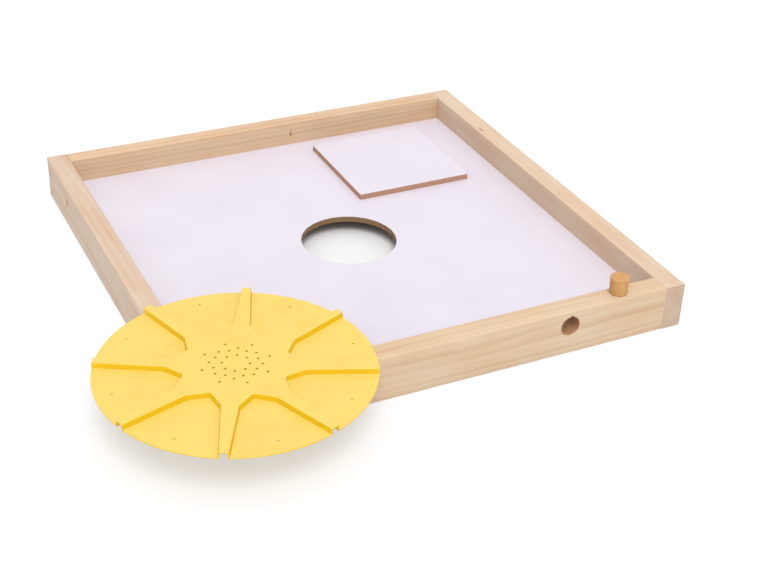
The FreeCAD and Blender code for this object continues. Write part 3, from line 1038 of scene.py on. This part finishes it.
VENT_RADIUS = 1.15 * MM
VENT_CIRCLES_BETWEEN = (11.3 * MM, 21.6 * MM)
VENT_CIRCLES_ON_ARMS = (18.6 * MM, 28.3 * MM)
PIN_RADIUS = 1.0 * MM
PIN_TO_RIM = 14 * MM
GATE_HEIGHT = 6.15 * MM
GATE_HALF_SIZES = (2.2 * MM, 1.0 * MM, 0.32 * MM)
band = half_sector()
copies = [
    placed(band, 2 * HALF_STEP * step, mirror) for step in range(SECTORS) for mirror in (False, True)]
escape = surface("bee_escape_moulded", copies)
vents = [ring for circle in VENT_CIRCLES_BETWEEN for ring in hole_ring(VENT_RADIUS, circle, HALF_STEP)]
vents += [ring for circle in VENT_CIRCLES_ON_ARMS for ring in hole_ring(VENT_RADIUS, circle, 0.0)]
carve(escape, vents + hole_ring(PIN_RADIUS, ESCAPE_RADIUS - PIN_TO_RIM, 0.0))
gate = spindle((escape_centre[0], escape_centre[1], escape_low[2] + GATE_HEIGHT), GATE_HALF_SIZES)
carve(escape, [gate], "UNION")
soften(escape, 40.0)
print("vents:", len(vents))


# %% [markdown]
# Polypropylene is a waxy, slightly milky plastic: light sinks in a millimetre or two, so thin edges
# glow. Subsurface scattering does that. The moulded surface is satin, with a fine spark texture and
# faint flow marks. Wherever the disc lies face up its colour is painted paler, as a painted sheen of
# the bright room, and the steep walls keep the full yellow: the way a face looks decides between the
# two.


# %% Yellow polypropylene
def polypropylene():
    """Return satin yellow plastic with a spark texture and flow marks 36 mm long in its tone.

    The spark texture is drawn at 0.4 mm, coarser than the real one, so that it shows.
    """
    material, tree, shader, place = new_finish("yellow_polypropylene_moulded", Roughness=0.42, IOR=1.49)
    shader.inputs["Subsurface Weight"].default_value = 0.2
    shader.inputs["Subsurface Radius"].default_value = (1.0, 0.6, 0.1)
    shader.inputs["Subsurface Scale"].default_value = 1.2 * MM
    flow = add(tree, "TexNoise", {
        "Vector": place, "Scale": 28.0, "Detail": 2.0, "Distortion": 1.2}).outputs["Fac"]
    # Faces that look up get a paler yellow with the flow marks in it, as a painted sheen. The walls keep
    # the deeper yellow #DBB306.
    sheen_and_flow_marks = two_tone(tree, flow, 0.35, 0.65, "#DCBF5C", "#DFC362")
    up = add(tree, "SeparateXYZ", {0: add(tree, "NewGeometry").outputs["True Normal"]}).outputs["Z"]
    flat = add(tree, "MapRange", {
        "Value": up, "From Min": 0.45, "From Max": 0.95}, interpolation_type="SMOOTHSTEP")
    colour = add(tree, "Mix", {
        0: flat.outputs["Result"], 6: linear("#DBB306"), 7: sheen_and_flow_marks.outputs[2]}, data_type="RGBA")
    tree.links.new(colour.outputs[2], shader.inputs["Base Color"])
    spark = add(tree, "TexNoise", {"Vector": place, "Scale": 2400.0, "Detail": 2.0}).outputs["Fac"]
    bump = add(tree, "Bump", {"Height": spark, "Strength": 0.25, "Distance": 0.03 * MM})
    tree.links.new(bump.outputs["Normal"], shader.inputs["Normal"])
    return material


settle(escape, "escape", "bee_escape", polypropylene())

# %% [markdown]
# ## The floor
#
# The board is shown as in a shop's catalogue, on white that is lit until it burns out, so that only
# the closest shadows are left. It lies on a wide sheet of white acrylic with a faint glow from below.
# Between them is a square of white card, a little smaller than the board. It stops the glow, so the
# floor seen through the bee hole keeps its shadow.


# %% Floor
FLOOR_SIZE = 40.0
CARD_HALF = 0.22
CARD_EDGE = 1 * MM
GLOW = 0.5
BOARD_MIDDLE = ((left_low.x + right_high.x) / 2, (left_low.y + left_high.y) / 2, 0.0)


def add_floor():
    """Lay a large floor at the rails' undersides: card near the board's middle, lit acrylic beyond.

    The greater of the distances in X and Y from the middle decides which of the two a point is.
    """
    half = FLOOR_SIZE / 2
    line = np.linspace(-half, half, 2)
    x, y = np.meshgrid(line, line, indexing="ij")
    z = np.full_like(x, cad_low.z)
    floor = surface("floor", [np.stack([x, y, z], axis=-1)], outward=False)
    material, tree, shader, place = new_finish("white_acrylic_lit_below", Roughness=0.9)
    shader.inputs["Emission Color"].default_value = linear("#F6FAFF")
    middle = add(tree, "VectorMath", {0: place, 1: BOARD_MIDDLE}, operation="SUBTRACT").outputs[0]
    middle = add(tree, "VectorMath", {0: middle}, operation="ABSOLUTE").outputs[0]
    sides = add(tree, "SeparateXYZ", {0: middle})
    reach = add(tree, "Math", {0: sides.outputs["X"], 1: sides.outputs["Y"]}, operation="MAXIMUM")
    clear = add(tree, "MapRange", {
        "Value": reach.outputs[0], "From Min": CARD_HALF, "From Max": CARD_HALF + CARD_EDGE})
    clear = clear.outputs["Result"]
    colour = add(tree, "Mix", {
        0: clear, 6: linear("#DDDDDD"), 7: linear("#ADADAD")}, data_type="RGBA")
    tree.links.new(colour.outputs[2], shader.inputs["Base Color"])
    glow = add(tree, "Math", {0: clear, 1: GLOW}, operation="MULTIPLY").outputs[0]
    tree.links.new(glow, shader.inputs["Emission Strength"])
    floor.data.materials.append(material)
    floor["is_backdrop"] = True


add_floor()
print("floor at", round(cad_low.z / MM, 2), "mm")

# %% [markdown]
# ## The light
#
# Most of the light comes from the white room. A soft box high up in front is the key, and a wide
# ceiling light lifts what lies flat. Both are so far off that they light the whole floor evenly,
# which a sun lamp with a wide angle does.


# %% Light
ROOM_LIGHT = 0.8


def add_far_light(name, direction, spread, strength):
    """Add an even light from far away in a direction, as soft as a source spread degrees wide."""
    light = bpy.data.lights.new(name, "SUN")
    light.angle = math.radians(spread)
    light.energy = strength
    lamp = bpy.data.objects.new(name, light)
    lamp.location = direction
    lamp.rotation_euler = (-Vector(direction)).to_track_quat("-Z", "Y").to_euler()
    bpy.context.scene.collection.objects.link(lamp)


world = bpy.data.worlds.new("studio")
bpy.context.scene.world = world
world.use_nodes = True
background = world.node_tree.nodes["Background"]
background.inputs["Color"].default_value = linear("#FFFFFF")
background.inputs["Strength"].default_value = ROOM_LIGHT
add_far_light("key", direction=(-0.16, -0.52, 0.84), spread=30.0, strength=1.85)
add_far_light("ceiling", direction=(0.0, 0.0, 1.0), spread=60.0, strength=0.35)
bpy.context.scene.view_settings.view_transform = "Standard"
print("lights:", ", ".join(light.name for light in bpy.data.lights))

# %% [markdown]
# ## The camera
#
# The camera looks down at the board from the front left. It is given as an orbit: a point to look at,
# the distance from it, and three turns, so that each number can be changed by itself.


# %% Camera
def add_camera(target, distance, azimuth, elevation, roll, lens):
    """Place the camera at distance from target, turned by azimuth from looking along +Y."""
    camera = bpy.data.cameras.new("camera")
    camera.lens = lens
    eye = bpy.data.objects.new("camera", camera)
    turn = Euler((math.radians(90.0 - elevation), 0.0, math.radians(azimuth)), "XYZ").to_matrix()
    roll_turn = Euler((0, 0, math.radians(roll)), "XYZ").to_matrix()
    eye.rotation_euler = (turn @ roll_turn).to_euler()
    eye.location = Vector(target) + distance * (turn @ Vector((0, 0, 1)))
    bpy.context.scene.collection.objects.link(eye)
    bpy.context.scene.camera = eye


add_camera(
    target=(-0.0085, -0.0876, 0.0), distance=1.3072, azimuth=-26.474, elevation=31.520, roll=1.943,
    lens=67.53)
print("camera:", round(bpy.context.scene.camera.data.lens, 2), "mm lens")

# %% [markdown]
# ## The finished box
#
# The finished model's box is measured over its shown pieces, as the frame's box was at the start.

# %% Finish
low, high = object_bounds()
